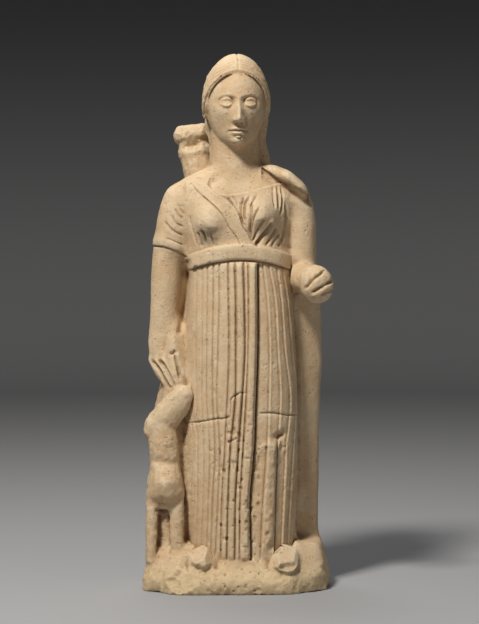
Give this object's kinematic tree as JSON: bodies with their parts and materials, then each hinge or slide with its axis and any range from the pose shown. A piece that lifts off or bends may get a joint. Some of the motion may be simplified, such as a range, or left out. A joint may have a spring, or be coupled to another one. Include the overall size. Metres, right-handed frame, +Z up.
{
  "type": "statue",
  "caption": "Limestone statue of a standing goddess in a girded dress and mantle, a quiver at her shoulder and a small fawn at her side, carved in one with its rough plinth.",
  "frame": {"origin": "middle of the plinth's flat underside, on the floor it stands on", "axes": "+Z up, -Y to where the goddess faces, +X to her left, which is the right of the picture"},
  "size_m": [0.3203, 0.2266, 0.9],
  "materials": {
    "limestone": "matt, dry, worn"
  },
  "bodies": {
    "root": {"statue": "limestone"}
  },
  "joints": []
}
